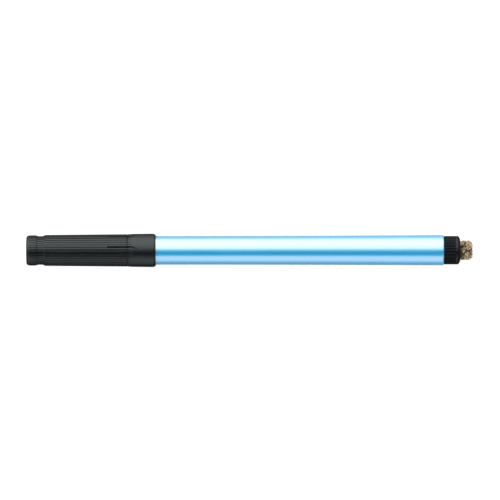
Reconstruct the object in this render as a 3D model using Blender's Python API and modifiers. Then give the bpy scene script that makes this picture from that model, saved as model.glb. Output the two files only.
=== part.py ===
"""Overhead projector marker with an eraser end, capped and lying on its side with the clip on top.

The pen's axis lies along X, the closed end of the cap at -X and the eraser at +X. Each piece is modelled
upright, with its own Z along the pen's axis and z = 0 at the closed end of the cap. The empty "pen_axis"
lays them down, so that the lip of the cap touches z = 0.
"""

import math

import bmesh
import bpy
from mathutils import Matrix

MM = 0.001

# Whole pen
PEN_LENGTH = 142.0 * MM
SLIDE_GAP = 0.15 * MM
SEAT_GAP = 0.05 * MM
TURN_STEPS = 48
THIN_TURN_STEPS = 32

# Cap, closed end to mouth
CAP_LENGTH = 41.2 * MM
CAP_RIBS = 36
CAP_RIB_DEPTH = 0.15 * MM
CAP_END_RIB_DEPTH = 0.10 * MM
CAP_END_FLAT_RADIUS = 3.0 * MM
CAP_END_DROP = 0.1 * MM
CAP_END_CORNER = 1.2 * MM
CAP_END_BAND_RADIUS = 4.84 * MM
CAP_NECK_START = 3.3 * MM
CAP_NECK_END = 5.6 * MM
CAP_NECK_RADIUS = 4.55 * MM
CAP_NECK_SLOPE = 0.3 * MM
CAP_BODY_RADIUS_END = 4.92 * MM
CAP_BODY_RADIUS_MOUTH = 5.16 * MM
CAP_BAND_START = 32.4 * MM
CAP_BAND_RADIUS = 5.23 * MM
CAP_LIP_RADIUS = 5.32 * MM
CAP_LIP_LENGTH = 1.3 * MM
CAP_LIP_DROP = 0.5 * MM
CAP_GROOVE_WIDTH = 0.35 * MM
CAP_GROOVE_DEPTH = 0.1 * MM
CAP_RIB_FADE = 1.3 * MM
CAP_END_WALL = 1.5 * MM

# Bore of the cap
CAP_SOCKET_RADIUS = 3.9 * MM
CAP_SOCKET_END = 7.5 * MM
CAP_BORE_RADIUS_END = 4.2 * MM
CAP_BORE_RADIUS_STOP = 4.42 * MM
CAP_STOP = 35.4 * MM
CAP_MOUTH_BORE_RADIUS = 4.72 * MM

# Inner seal of the cap
SEAL_OUTER_RADIUS = CAP_SOCKET_RADIUS - SLIDE_GAP
SEAL_WALL = 0.55 * MM
SEAL_FLOOR = 1.0 * MM
SEAL_END = 21.5 * MM
SEAL_FLANGE_RADIUS = 4.05 * MM
SEAL_FLANGE_THICKNESS = 0.8 * MM
SEAL_BEAD = 0.12 * MM
SEAL_BEAD_BACK = 1.2 * MM

# Pocket clip, a tongue cut out of the cap's wall
CLIP_WIDTH = 3.5 * MM
CLIP_SLOT = 0.5 * MM
CLIP_UNDERSIDE = 4.45 * MM
CLIP_ROOT_END = 25.85 * MM
CLIP_TIP = 35.5 * MM
CLIP_TIP_ROUND = 0.5 * MM
CLIP_TIP_GAP = 0.1 * MM
CLIP_HINGE_GAP = 0.1 * MM
CLIP_CUT_FLOOR = 3.0 * MM
CLIP_CUT_TOP = 6.5 * MM

# Barrel
BARREL_START = CAP_STOP + SEAT_GAP
BARREL_END = 132.8 * MM
BARREL_FRONT_RADIUS = 4.565 * MM
BARREL_REAR_RADIUS = 4.83 * MM
BARREL_STATIONS = 8
BARREL_FRONT_CHAMFER = 0.25 * MM
BARREL_REAR_ROUND_DROP = 0.25 * MM
BARREL_REAR_ROUND_LENGTH = 0.8 * MM
BARREL_BORE_FRONT = 3.8 * MM
BARREL_BORE_MIDDLE = 3.7 * MM
BARREL_BORE_REAR = 4.08 * MM
BARREL_FRONT_SOCKET_END = 45.0 * MM
BARREL_REAR_SOCKET_START = 126.0 * MM

# Front section, nozzle to spigot
NOZZLE_TIP = 12.6 * MM
NOZZLE_TIP_RADIUS = 1.3 * MM
NOZZLE_CONE_END = 17.6 * MM
NOZZLE_CONE_RADIUS = 2.6 * MM
SEAL_LAND_START = 18.0 * MM
SEAL_LAND_END = 22.0 * MM
SEAL_LAND_RADIUS = SEAL_OUTER_RADIUS - SEAL_WALL - SEAL_BEAD - SLIDE_GAP
GRIP_START = 22.8 * MM
GRIP_END = 32.2 * MM
GRIP_START_RADIUS = 3.6 * MM
GRIP_END_RADIUS = 3.95 * MM
COLLAR_START = 33.0 * MM
COLLAR_RADIUS = CAP_BORE_RADIUS_STOP - SLIDE_GAP
SPIGOT_RADIUS = BARREL_BORE_FRONT - 2.0 * SEAT_GAP
SPIGOT_END = 44.4 * MM
SPIGOT_CHAMFER = 0.4 * MM
SECTION_CORE_RADIUS = 1.8 * MM
SECTION_CORE_START = 25.0 * MM

# Nib
NIB_RADIUS = 0.8 * MM
NIB_TIP = 10.2 * MM
NIB_TIP_ROUND = 0.3 * MM
NIB_CONE_END = 12.2 * MM
NIB_END = 51.0 * MM
NIB_TAIL_CHAMFER = 0.4 * MM
NIB_BORE_RADIUS = NIB_RADIUS + 0.1 * MM

# Ink reservoir and its wrap
RESERVOIR_START = 45.2 * MM
RESERVOIR_END = 125.6 * MM
RESERVOIR_RADIUS = 2.95 * MM
RESERVOIR_BORE_END = NIB_END + 0.3 * MM
WRAP_INNER_RADIUS = RESERVOIR_RADIUS + SLIDE_GAP
WRAP_OUTER_RADIUS = 3.35 * MM

# End plug
PLUG_RIBS = 28
PLUG_RIB_DEPTH = 0.15 * MM
PLUG_HEAD_START = BARREL_END + SEAT_GAP
PLUG_HEAD_RADIUS = 4.515 * MM
PLUG_HEAD_CHAMFER = 0.1 * MM
PLUG_RIBS_END = 136.4 * MM
PLUG_RIB_FADE = 0.4 * MM
PLUG_SHOULDER = 137.2 * MM
PLUG_SHOULDER_END = 137.7 * MM
PLUG_SHOULDER_RADIUS = 4.0 * MM
PLUG_FACE = 138.0 * MM
PLUG_FACE_RADIUS = 3.45 * MM
PLUG_SPIGOT_RADIUS = BARREL_BORE_REAR - 2.0 * SEAT_GAP
PLUG_SPIGOT_START = 126.2 * MM
PLUG_SPIGOT_BURIED = 0.8 * MM
PLUG_HOLLOW_RADIUS = 3.1 * MM
PLUG_HOLLOW_END = 129.9 * MM
PLUG_SOCKET_RADIUS = 3.17 * MM
PLUG_SOCKET_FLOOR = 131.0 * MM
CUT_CLEAR = 0.5 * MM

# Eraser
ERASER_STUB_RADIUS = PLUG_SOCKET_RADIUS - 2.0 * SEAT_GAP
ERASER_STUB_START = PLUG_SOCKET_FLOOR + SEAT_GAP
ERASER_WAIST = 139.1 * MM
ERASER_WAIST_RADIUS = 3.0 * MM
ERASER_BELLY = 140.9 * MM
ERASER_BELLY_RADIUS = 3.2 * MM
ERASER_CROWN_RADIUS = 2.3 * MM
ERASER_CROWN_POINTS = 5

# Colours, roughness and metallic value of each piece
BLACK_PLASTIC = ((0.012, 0.014, 0.014), 0.3, 0.0)
BLUE_PLASTIC = ((0.08, 0.42, 0.72), 0.3, 0.0)
NATURAL_PLASTIC = ((0.72, 0.72, 0.68), 0.45, 0.0)
INK_FIBRE = ((0.02, 0.02, 0.022), 0.9, 0.0)
CLEAR_FILM = ((0.65, 0.66, 0.68), 0.25, 0.0)
ERASER_FIBRE = ((0.27, 0.16, 0.07), 0.9, 0.0)


# Scene, collections and materials


def clear_scene():
    """Remove every object that the scene starts with."""
    for scene_object in list(bpy.data.objects):
        bpy.data.objects.remove(scene_object, do_unlink=True)


def new_collection(name):
    """Return a new collection linked to the scene."""
    collection = bpy.data.collections.new(name)
    bpy.context.scene.collection.children.link(collection)
    return collection


def new_material(name, finish):
    """Return a Principled material from a (colour, roughness, metallic) finish."""
    colour, roughness, metallic = finish
    material = bpy.data.materials.new(name)
    material.use_nodes = True
    shader = material.node_tree.nodes["Principled BSDF"]
    shader.inputs["Base Color"].default_value = (*colour, 1.0)
    shader.inputs["Roughness"].default_value = roughness
    shader.inputs["Metallic"].default_value = metallic
    return material


def new_empty(name, collection, parent=None, location=(0.0, 0.0, 0.0), rotation=(0.0, 0.0, 0.0)):
    """Return an empty that places and carries the pieces under it."""
    empty = bpy.data.objects.new(name, None)
    empty.location = location
    empty.rotation_euler = rotation
    empty.parent = parent
    empty.empty_display_size = 5.0 * MM
    collection.objects.link(empty)
    return empty


def add_piece(name, mesh, collection, parent, finish):
    """Return a new object for a mesh, with its own material, under its parent."""
    piece = bpy.data.objects.new(name, mesh)
    piece.parent = parent
    mesh.materials.append(new_material(name, finish))
    collection.objects.link(piece)
    return piece


# Modelling tools


def arc(centre, radii, start_deg, end_deg, count):
    """Return (radius, z) points on an arc; 0 degrees points outwards and 90 degrees along the axis."""
    points = []
    for i in range(count):
        angle = math.radians(start_deg + (end_deg - start_deg) * i / (count - 1))
        points.append((centre[0] + radii[0] * math.cos(angle), centre[1] + radii[1] * math.sin(angle)))
    return points


def profile_mesh(name, profile, closed):
    """Return a mesh of the (radius, z) profile as a chain of edges."""
    mesh = bpy.data.meshes.new(name)
    vertices = [(radius, 0.0, z) for radius, z in profile]
    edges = [(i, i + 1) for i in range(len(profile) - 1)]
    if closed:
        edges.append((len(profile) - 1, 0))
    mesh.from_pydata(vertices, edges, [])
    return mesh


def spin_profile(piece, steps):
    """Turn a profile piece about its Z axis."""
    screw = piece.modifiers.new("turned", "SCREW")
    screw.axis = "Z"
    screw.angle = 2.0 * math.pi
    screw.steps = steps
    screw.render_steps = steps
    screw.use_merge_vertices = True
    screw.merge_threshold = 0.00001
    screw.use_smooth_shade = False


def turned_piece(name, profile, closed, steps, collection, parent, finish):
    """Return a turned piece; its profile keeps the material on its right-hand side."""
    piece = add_piece(name, profile_mesh(name, profile, closed), collection, parent, finish)
    spin_profile(piece, steps)
    return piece


def as_cutter(piece):
    """Mark an object as a guide that only cuts or joins other pieces."""
    piece.hide_render = True
    piece.display_type = "WIRE"
    return piece


def turned_cutter(name, profile, cutters, parent):
    """Return a turned cutter on the pen's axis."""
    cutter = bpy.data.objects.new(name, profile_mesh(name, profile, closed=False))
    cutter.parent = parent
    cutters.objects.link(cutter)
    spin_profile(cutter, TURN_STEPS)
    return as_cutter(cutter)


def add_boolean(piece, operand, operation):
    """Cut the operand from a piece, or join it to the piece."""
    modifier = piece.modifiers.new(operand.name, "BOOLEAN")
    modifier.operation = operation
    modifier.object = operand
    modifier.solver = "EXACT"


def ribbed_mesh(name, stations, ribs):
    """Return a closed mesh through rings of (z, crest radius, rib depth), with lengthwise ribs.

    Each rib takes four even steps round the ring: two on its crest and two in the groove beside it.
    """
    steps = 4 * ribs
    step_angle = 2.0 * math.pi / steps

    def place(ring, station):
        z, radius, depth = station
        for vertex in ring:
            step = round(math.atan2(vertex.co.y, vertex.co.x) / step_angle - 0.5) % steps
            angle = (step + 0.5) * step_angle
            ring_radius = radius - depth if step % 4 in (1, 2) else radius
            vertex.co = (ring_radius * math.cos(angle), ring_radius * math.sin(angle), z)

    mesh_edit = bmesh.new()
    first = bmesh.ops.create_circle(mesh_edit, cap_ends=True, radius=stations[0][1], segments=steps)
    half_step = Matrix.Rotation(0.5 * step_angle, 3, "Z")
    bmesh.ops.rotate(mesh_edit, verts=first["verts"], cent=(0.0, 0.0, 0.0), matrix=half_step)
    place(first["verts"], stations[0])
    rim = mesh_edit.edges[:]
    for station in stations[1:]:
        grown = bmesh.ops.extrude_edge_only(mesh_edit, edges=rim)["geom"]
        ring = [item for item in grown if isinstance(item, bmesh.types.BMVert)]
        ring_set = set(ring)
        rim = [
            item
            for item in grown
            if isinstance(item, bmesh.types.BMEdge) and ring_set.issuperset(item.verts)
        ]
        place(ring, station)
    bmesh.ops.edgeloop_fill(mesh_edit, edges=rim)
    bmesh.ops.recalc_face_normals(mesh_edit, faces=mesh_edit.faces)
    mesh = bpy.data.meshes.new(name)
    mesh_edit.to_mesh(mesh)
    mesh_edit.free()
    return mesh


def box_cutter(name, ends, heights, width, corner, cutters, parent):
    """Return a box cutter on the clip's side of the pen.

    It spans two places along the pen and two heights from its axis, and its two corners nearest the mouth of the
    cap are rounded as seen from above.
    """
    size = Matrix.Diagonal((heights[1] - heights[0], width, ends[1] - ends[0], 1.0))
    middle = Matrix.Translation((-0.5 * sum(heights), 0.0, 0.5 * sum(ends)))
    mesh_edit = bmesh.new()
    bmesh.ops.create_cube(mesh_edit, size=1.0, matrix=middle @ size)
    corners = [
        edge
        for edge in mesh_edit.edges
        if all(math.isclose(vertex.co.z, ends[1], abs_tol=0.01 * MM) for vertex in edge.verts)
        and math.isclose(edge.verts[0].co.y, edge.verts[1].co.y, abs_tol=0.01 * MM)
    ]
    bmesh.ops.bevel(
        mesh_edit, geom=corners, offset=corner, offset_type="OFFSET", segments=3, profile=0.5, affect="EDGES"
    )
    bmesh.ops.recalc_face_normals(mesh_edit, faces=mesh_edit.faces)
    mesh = bpy.data.meshes.new(name)
    mesh_edit.to_mesh(mesh)
    mesh_edit.free()
    cutter = bpy.data.objects.new(name, mesh)
    cutter.parent = parent
    cutters.objects.link(cutter)
    return as_cutter(cutter)


def along(first, last, ratio):
    """Return the value at a ratio of the way from first to last."""
    return first + (last - first) * ratio


# Cap


def cap_band_radius(z):
    """Return the outer radius of the smooth band at a place along the pen."""
    return along(CAP_BAND_RADIUS, CAP_LIP_RADIUS, (z - CAP_BAND_START) / (CAP_LENGTH - CAP_BAND_START))


def cap_body_radius(z):
    """Return the radius of the rib crests on the body of the cap at a place along the pen."""
    ratio = (z - CAP_NECK_END) / (CAP_BAND_START - CAP_NECK_END)
    return along(CAP_BODY_RADIUS_END, CAP_BODY_RADIUS_MOUTH, ratio)


def cap_stations():
    """Return the rings of the cap's outside, from its closed end to its mouth."""
    corner_centre = (CAP_END_BAND_RADIUS - CAP_END_CORNER, CAP_END_DROP + CAP_END_CORNER)
    corner = arc(corner_centre, (CAP_END_CORNER, CAP_END_CORNER), -90.0, 0.0, 4)
    stations = [(0.0, CAP_END_FLAT_RADIUS, 0.0)]
    for i, (radius, z) in enumerate(corner):
        stations.append((z, radius, CAP_END_RIB_DEPTH * i / (len(corner) - 1)))
    stations += [
        (CAP_NECK_START, CAP_END_BAND_RADIUS, CAP_END_RIB_DEPTH),
        (CAP_NECK_START + CAP_NECK_SLOPE, CAP_NECK_RADIUS, 0.5 * CAP_END_RIB_DEPTH),
        (CAP_NECK_END, CAP_NECK_RADIUS, 0.5 * CAP_END_RIB_DEPTH),
        (CAP_NECK_END + CAP_NECK_SLOPE, CAP_BODY_RADIUS_END, CAP_RIB_DEPTH),
    ]
    groove_start = CAP_BAND_START - CAP_GROOVE_WIDTH
    groove_middle = CAP_BAND_START - 0.5 * CAP_GROOVE_WIDTH
    groove_radius = cap_body_radius(groove_middle) - CAP_GROOVE_DEPTH
    fade_end = CAP_BAND_START + CAP_RIB_FADE
    stations += [
        (groove_start, cap_body_radius(groove_start), CAP_RIB_DEPTH),
        (groove_middle, groove_radius, CAP_RIB_DEPTH - CAP_GROOVE_DEPTH),
        (CAP_BAND_START, cap_body_radius(CAP_BAND_START), CAP_RIB_DEPTH),
        (fade_end, cap_band_radius(fade_end), 0.0),
    ]
    lip_centre = (CAP_LIP_RADIUS - CAP_LIP_DROP, CAP_LENGTH - CAP_LIP_LENGTH)
    lip = arc(lip_centre, (CAP_LIP_DROP, CAP_LIP_LENGTH), 0.0, 90.0, 4)
    stations += [(z, radius, 0.0) for radius, z in lip]
    return stations


def cap_bore_profile():
    """Return the profile of the hollow inside the cap, from beyond its mouth to its closed end."""
    return [
        (0.0, CAP_LENGTH + CUT_CLEAR),
        (CAP_MOUTH_BORE_RADIUS, CAP_LENGTH + CUT_CLEAR),
        (CAP_MOUTH_BORE_RADIUS, CAP_STOP),
        (CAP_BORE_RADIUS_STOP, CAP_STOP),
        (CAP_BORE_RADIUS_END, CAP_SOCKET_END),
        (CAP_SOCKET_RADIUS, CAP_SOCKET_END),
        (CAP_SOCKET_RADIUS, CAP_END_WALL),
        (0.0, CAP_END_WALL),
    ]


def clip_hinge_point():
    """Return (z, radius) of the line that the tongue bends about, half way through its root."""
    root = CLIP_ROOT_END + CLIP_HINGE_GAP
    return root, 0.5 * (CLIP_UNDERSIDE + cap_body_radius(root))


def build_clip(parts, cutters, cap_slide):
    """Build the clip's tongue: a piece of the cap's ribbed wall with a flat underside, on its own hinge."""
    hinge_z, hinge_radius = clip_hinge_point()
    clip_hinge = new_empty("clip_hinge", parts, cap_slide, (-hinge_radius, 0.0, hinge_z))
    clip_mesh = ribbed_mesh("cap_clip", cap_stations(), CAP_RIBS)
    clip = add_piece("cap_clip", clip_mesh, parts, clip_hinge, BLACK_PLASTIC)
    clip.location = (hinge_radius, 0.0, -hinge_z)
    blank = box_cutter(
        "clip_blank",
        (hinge_z, CLIP_TIP),
        (CLIP_UNDERSIDE, CLIP_CUT_TOP),
        CLIP_WIDTH,
        CLIP_TIP_ROUND,
        cutters,
        cap_slide,
    )
    add_boolean(clip, blank, "INTERSECT")


def build_cap(parts, cutters, cap_slide):
    """Build the cap's shell with the slot round its clip, the clip's tongue and the inner seal."""
    shell_mesh = ribbed_mesh("cap_shell", cap_stations(), CAP_RIBS)
    shell = add_piece("cap_shell", shell_mesh, parts, cap_slide, BLACK_PLASTIC)
    add_boolean(shell, turned_cutter("cap_bore", cap_bore_profile(), cutters, cap_slide), "DIFFERENCE")
    window = box_cutter(
        "clip_window",
        (CLIP_ROOT_END, CLIP_TIP + CLIP_TIP_GAP),
        (CLIP_CUT_FLOOR, CLIP_CUT_TOP),
        CLIP_WIDTH + 2.0 * CLIP_SLOT,
        CLIP_TIP_ROUND,
        cutters,
        cap_slide,
    )
    add_boolean(shell, window, "DIFFERENCE")
    build_clip(parts, cutters, cap_slide)

    bore = SEAL_OUTER_RADIUS - SEAL_WALL
    bead = SEAL_END - SEAL_BEAD_BACK
    flange = CAP_SOCKET_END + SEAT_GAP
    seal_start = CAP_END_WALL + SLIDE_GAP
    seal_profile = [
        (0.0, seal_start + SEAL_FLOOR),
        (bore, seal_start + SEAL_FLOOR),
        (bore, bead - 2.0 * SEAL_BEAD),
        (bore - SEAL_BEAD, bead),
        (bore, bead + 2.0 * SEAL_BEAD),
        (bore + 0.5 * SEAL_WALL, SEAL_END),
        (SEAL_OUTER_RADIUS, SEAL_END),
        (SEAL_OUTER_RADIUS, flange + SEAL_FLANGE_THICKNESS),
        (SEAL_FLANGE_RADIUS, flange + SEAL_FLANGE_THICKNESS),
        (SEAL_FLANGE_RADIUS, flange),
        (SEAL_OUTER_RADIUS, flange),
        (SEAL_OUTER_RADIUS, seal_start),
        (0.0, seal_start),
    ]
    turned_piece("cap_inner_seal", seal_profile, False, TURN_STEPS, parts, cap_slide, NATURAL_PLASTIC)


# Barrel, front section and nib


def barrel_radius(z):
    """Return the barrel's outer radius: it swells slowly from the cap's mouth to the rear."""
    ratio = max(0.0, (z - CAP_LENGTH) / (BARREL_END - CAP_LENGTH))
    return along(BARREL_FRONT_RADIUS, BARREL_REAR_RADIUS, ratio**2)


def build_barrel(parts, pen_axis):
    """Build the barrel as a turned tube with a socket at each end."""
    rear_centre = (BARREL_REAR_RADIUS - BARREL_REAR_ROUND_DROP, BARREL_END - BARREL_REAR_ROUND_LENGTH)
    profile = arc(rear_centre, (BARREL_REAR_ROUND_DROP, BARREL_REAR_ROUND_LENGTH), 90.0, 0.0, 4)
    for i in range(1, BARREL_STATIONS):
        z = along(BARREL_END, CAP_LENGTH, i / (BARREL_STATIONS - 1))
        profile.append((barrel_radius(z), z))
    profile += [
        (BARREL_FRONT_RADIUS, BARREL_START + BARREL_FRONT_CHAMFER),
        (BARREL_FRONT_RADIUS - BARREL_FRONT_CHAMFER, BARREL_START),
        (BARREL_BORE_FRONT, BARREL_START),
        (BARREL_BORE_FRONT, BARREL_FRONT_SOCKET_END),
        (BARREL_BORE_MIDDLE, BARREL_FRONT_SOCKET_END),
        (BARREL_BORE_MIDDLE, BARREL_REAR_SOCKET_START),
        (BARREL_BORE_REAR, BARREL_REAR_SOCKET_START),
        (BARREL_BORE_REAR, BARREL_END),
    ]
    turned_piece("barrel_tube", profile, True, TURN_STEPS, parts, pen_axis, BLUE_PLASTIC)


def build_front_section(parts, pen_axis):
    """Build the nozzle that holds the nib, guides the cap and plugs into the barrel."""
    profile = [
        (SPIGOT_RADIUS - SPIGOT_CHAMFER, SPIGOT_END),
        (SPIGOT_RADIUS, SPIGOT_END - SPIGOT_CHAMFER),
        (SPIGOT_RADIUS, BARREL_START - SEAT_GAP),
        (COLLAR_RADIUS, BARREL_START - SEAT_GAP),
        (COLLAR_RADIUS, COLLAR_START),
        (GRIP_END_RADIUS, GRIP_END),
        (GRIP_START_RADIUS, GRIP_START),
        (SEAL_LAND_RADIUS, SEAL_LAND_END),
        (SEAL_LAND_RADIUS, SEAL_LAND_START),
        (NOZZLE_CONE_RADIUS, NOZZLE_CONE_END),
        (NOZZLE_TIP_RADIUS, NOZZLE_TIP),
        (NIB_BORE_RADIUS, NOZZLE_TIP),
        (NIB_BORE_RADIUS, SECTION_CORE_START),
        (SECTION_CORE_RADIUS, SECTION_CORE_START + SECTION_CORE_RADIUS - NIB_BORE_RADIUS),
        (SECTION_CORE_RADIUS, SPIGOT_END),
    ]
    turned_piece("front_section", profile, True, TURN_STEPS, parts, pen_axis, BLACK_PLASTIC)


def build_nib(parts, pen_axis):
    """Build the fibre nib, whose tail reaches into the reservoir."""
    tip = arc((0.0, NIB_TIP + NIB_TIP_ROUND), (NIB_TIP_ROUND, NIB_TIP_ROUND), -20.0, -90.0, 4)
    profile = [
        (0.0, NIB_END),
        (NIB_RADIUS - NIB_TAIL_CHAMFER, NIB_END),
        (NIB_RADIUS, NIB_END - NIB_TAIL_CHAMFER),
        (NIB_RADIUS, NIB_CONE_END),
    ]
    profile += tip[:-1]
    profile.append((0.0, NIB_TIP))
    turned_piece("nib", profile, False, THIN_TURN_STEPS, parts, pen_axis, INK_FIBRE)


def build_reservoir(parts, pen_axis):
    """Build the ink reservoir, with the hole that the nib makes in it, and its film wrap."""
    core_profile = [
        (0.0, RESERVOIR_END),
        (RESERVOIR_RADIUS, RESERVOIR_END),
        (RESERVOIR_RADIUS, RESERVOIR_START),
        (NIB_BORE_RADIUS, RESERVOIR_START),
        (NIB_BORE_RADIUS, RESERVOIR_BORE_END),
        (0.0, RESERVOIR_BORE_END),
    ]
    turned_piece("reservoir_core", core_profile, False, THIN_TURN_STEPS, parts, pen_axis, INK_FIBRE)
    wrap_profile = [
        (WRAP_OUTER_RADIUS, RESERVOIR_END),
        (WRAP_OUTER_RADIUS, RESERVOIR_START),
        (WRAP_INNER_RADIUS, RESERVOIR_START),
        (WRAP_INNER_RADIUS, RESERVOIR_END),
    ]
    turned_piece("reservoir_wrap", wrap_profile, True, THIN_TURN_STEPS, parts, pen_axis, CLEAR_FILM)


# End plug and eraser


def build_end_plug(parts, cutters, pen_axis):
    """Build the ribbed end plug: a head outside, a spigot in the barrel and a socket for the eraser."""
    stations = [
        (PLUG_HEAD_START, PLUG_HEAD_RADIUS - PLUG_HEAD_CHAMFER, 0.0),
        (PLUG_HEAD_START + PLUG_HEAD_CHAMFER, PLUG_HEAD_RADIUS, PLUG_RIB_DEPTH),
        (PLUG_RIBS_END, PLUG_HEAD_RADIUS, PLUG_RIB_DEPTH),
        (PLUG_RIBS_END + PLUG_RIB_FADE, PLUG_HEAD_RADIUS, 0.0),
        (PLUG_SHOULDER, PLUG_HEAD_RADIUS, 0.0),
        (PLUG_SHOULDER_END, PLUG_SHOULDER_RADIUS, 0.0),
        (PLUG_FACE, PLUG_FACE_RADIUS, 0.0),
    ]
    head_mesh = ribbed_mesh("end_plug", stations, PLUG_RIBS)
    plug = add_piece("end_plug", head_mesh, parts, pen_axis, BLACK_PLASTIC)
    spigot_end = PLUG_HEAD_START + PLUG_SPIGOT_BURIED
    spigot_profile = [
        (0.0, spigot_end),
        (PLUG_SPIGOT_RADIUS, spigot_end),
        (PLUG_SPIGOT_RADIUS, PLUG_SPIGOT_START + SPIGOT_CHAMFER),
        (PLUG_SPIGOT_RADIUS - SPIGOT_CHAMFER, PLUG_SPIGOT_START),
        (0.0, PLUG_SPIGOT_START),
    ]
    hollow_profile = [
        (0.0, PLUG_HOLLOW_END),
        (PLUG_HOLLOW_RADIUS, PLUG_HOLLOW_END),
        (PLUG_HOLLOW_RADIUS, PLUG_SPIGOT_START - CUT_CLEAR),
        (0.0, PLUG_SPIGOT_START - CUT_CLEAR),
    ]
    socket_profile = [
        (0.0, PLUG_FACE + CUT_CLEAR),
        (PLUG_SOCKET_RADIUS, PLUG_FACE + CUT_CLEAR),
        (PLUG_SOCKET_RADIUS, PLUG_SOCKET_FLOOR),
        (0.0, PLUG_SOCKET_FLOOR),
    ]
    add_boolean(plug, turned_cutter("plug_spigot", spigot_profile, cutters, pen_axis), "UNION")
    add_boolean(plug, turned_cutter("plug_hollow", hollow_profile, cutters, pen_axis), "DIFFERENCE")
    add_boolean(plug, turned_cutter("plug_socket", socket_profile, cutters, pen_axis), "DIFFERENCE")


def build_eraser(parts, pen_axis):
    """Build the eraser pad: a stub in the socket, a drawn-in waist and a crowned end."""
    crown_centre = (ERASER_CROWN_RADIUS, ERASER_BELLY)
    crown_radii = (ERASER_BELLY_RADIUS - ERASER_CROWN_RADIUS, PEN_LENGTH - ERASER_BELLY)
    profile = [(0.0, PEN_LENGTH)]
    profile += arc(crown_centre, crown_radii, 90.0, 0.0, ERASER_CROWN_POINTS)
    profile += [
        (ERASER_WAIST_RADIUS, ERASER_WAIST),
        (ERASER_STUB_RADIUS, PLUG_FACE),
        (ERASER_STUB_RADIUS, ERASER_STUB_START),
        (0.0, ERASER_STUB_START),
    ]
    turned_piece("eraser_pad", profile, False, THIN_TURN_STEPS, parts, pen_axis, ERASER_FIBRE)


def main():
    """Build every piece of the pen."""
    clear_scene()
    parts = new_collection("overhead_projector_marker")
    cutters = new_collection("cutters")
    pen_axis = new_empty(
        "pen_axis",
        parts,
        location=(-0.5 * PEN_LENGTH, 0.0, CAP_LIP_RADIUS),
        rotation=(0.0, 0.5 * math.pi, 0.0),
    )
    cap_slide = new_empty("cap_slide", parts, pen_axis)
    build_cap(parts, cutters, cap_slide)
    build_barrel(parts, pen_axis)
    build_front_section(parts, pen_axis)
    build_nib(parts, pen_axis)
    build_reservoir(parts, pen_axis)
    build_end_plug(parts, cutters, pen_axis)
    build_eraser(parts, pen_axis)


if __name__ == "__main__":
    main()
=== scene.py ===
"""Looks of a capped overhead projector marker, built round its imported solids.

The pen lies along X, the closed end of its cap at -X and the clip on top. Sizes are in millimetres: places
along the pen count from the closed end of the cap, and turns round it are in degrees from the clip towards
the camera.
"""

import logging
import math
from collections.abc import Sequence
from dataclasses import dataclass
from enum import Enum
from functools import partial
from typing import Any

import bmesh
import bpy
from bpy.types import Material, Mesh, Node, NodeSocket, NodeTree, Object
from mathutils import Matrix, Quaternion, Vector


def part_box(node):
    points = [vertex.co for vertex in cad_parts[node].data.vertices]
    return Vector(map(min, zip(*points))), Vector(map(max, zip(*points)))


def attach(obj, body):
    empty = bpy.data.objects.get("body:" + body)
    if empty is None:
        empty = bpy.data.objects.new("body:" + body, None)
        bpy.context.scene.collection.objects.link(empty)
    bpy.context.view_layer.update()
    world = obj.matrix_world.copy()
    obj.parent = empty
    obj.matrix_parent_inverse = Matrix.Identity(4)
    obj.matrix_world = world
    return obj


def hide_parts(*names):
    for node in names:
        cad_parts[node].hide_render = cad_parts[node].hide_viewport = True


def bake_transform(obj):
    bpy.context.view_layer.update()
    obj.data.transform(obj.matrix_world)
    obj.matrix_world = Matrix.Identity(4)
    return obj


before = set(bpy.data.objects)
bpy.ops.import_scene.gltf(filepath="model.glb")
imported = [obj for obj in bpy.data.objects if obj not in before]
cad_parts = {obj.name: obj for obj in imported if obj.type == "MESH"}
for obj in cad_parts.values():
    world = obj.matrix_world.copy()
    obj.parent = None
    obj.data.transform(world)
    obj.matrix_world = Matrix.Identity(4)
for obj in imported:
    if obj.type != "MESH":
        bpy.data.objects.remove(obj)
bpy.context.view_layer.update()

# (along, radius) of a point or a (place, value) row, and (along, radius, rounding) of a corner
Point = tuple[float, float]
Corner = tuple[float, float, float]
Pair = tuple[float, float]
Colour = tuple[float, float, float, float]

MM = 0.001
SHARP_ANGLE = math.radians(40.0)
ROUNDING_LIMIT = 0.45
WHITE: Colour = (1.0, 1.0, 1.0, 1.0)
LOG = logging.getLogger("marker")


class Body(Enum):
    """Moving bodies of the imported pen."""

    PEN = "pen"
    CAP = "cap"
    CLIP = "clip"


class Slot(Enum):
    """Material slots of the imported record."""

    BLACK_PLASTIC = "black_plastic"
    BLUE_PLASTIC = "blue_plastic"
    ERASER_FIBRE = "eraser_fibre"


class Keep(Enum):
    """What a cut with a block keeps of a piece, in Blender's words."""

    OUTSIDE = "DIFFERENCE"
    INSIDE = "INTERSECT"


# Small tools


def linear(hex_colour: str) -> Colour:
    """Turn an sRGB hex colour to linear values.

    Args:
        hex_colour: Six hex digits, such as "18a0d4".

    Returns:
        Linear red, green and blue, and an alpha of 1.
    """
    values = [int(hex_colour[i : i + 2], 16) / 255.0 for i in (0, 2, 4)]
    toned = [v / 12.92 if v <= 0.04045 else ((v + 0.055) / 1.055) ** 2.4 for v in values]
    return toned[0], toned[1], toned[2], 1.0


def ease(low: float, high: float, value: float) -> float:
    """Rise smoothly from 0 at low to 1 at high.

    Args:
        low: Where the rise starts.
        high: Where the rise ends.
        value: Where it is read.

    Returns:
        A share from 0 to 1.
    """
    share = min(1.0, max(0.0, (value - low) / (high - low)))
    return share * share * (3.0 - 2.0 * share)


def between(table: Sequence[Point], value: float) -> float:
    """Read a table of (place, value) pairs, straight between its rows.

    Args:
        table: Rows in rising order of place.
        value: The place to read at.

    Returns:
        The value there, held at the ends.
    """
    for (low, first), (high, last) in zip(table, table[1:]):
        if value <= high:
            share = max(0.0, (value - low) / (high - low))
            return first + (last - first) * share
    return table[-1][1]


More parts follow.
